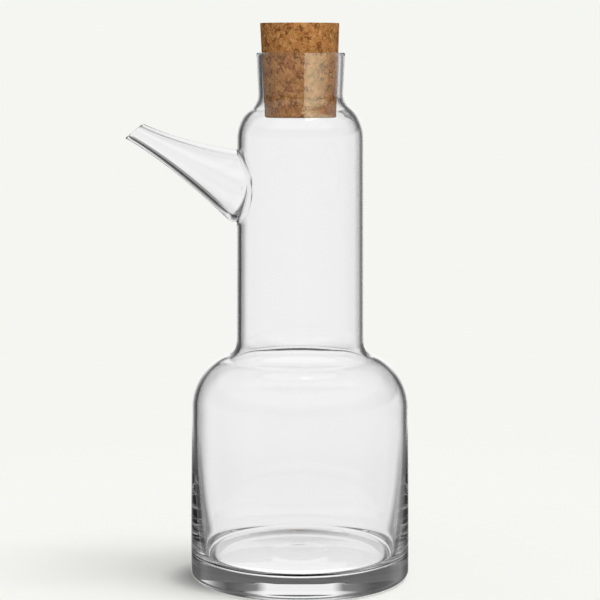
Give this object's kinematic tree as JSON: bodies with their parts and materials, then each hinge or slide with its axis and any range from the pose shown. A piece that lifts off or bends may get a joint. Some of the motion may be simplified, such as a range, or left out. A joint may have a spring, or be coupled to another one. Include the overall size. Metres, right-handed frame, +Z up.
{
  "type": "glass carafe with side spout and cork stopper",
  "caption": "Clear glass carafe: a round body, a tall straight neck with a flared spout rising from its side, and a tapered pressed-cork stopper in the mouth.",
  "frame": {"origin": "centre of the foot, on the plane that the carafe stands on", "axes": "+Z up along the axis of the turned glass, -X towards the spout, XZ is the plane of symmetry"},
  "size_m": [0.142, 0.1106, 0.278],
  "materials": {
    "clear_glass": "clear, polished",
    "pressed_cork": "matt pressed granules"
  },
  "bodies": {
    "root": {"carafe_glass": "clear_glass", "cork_stopper": "pressed_cork"}
  },
  "joints": []
}
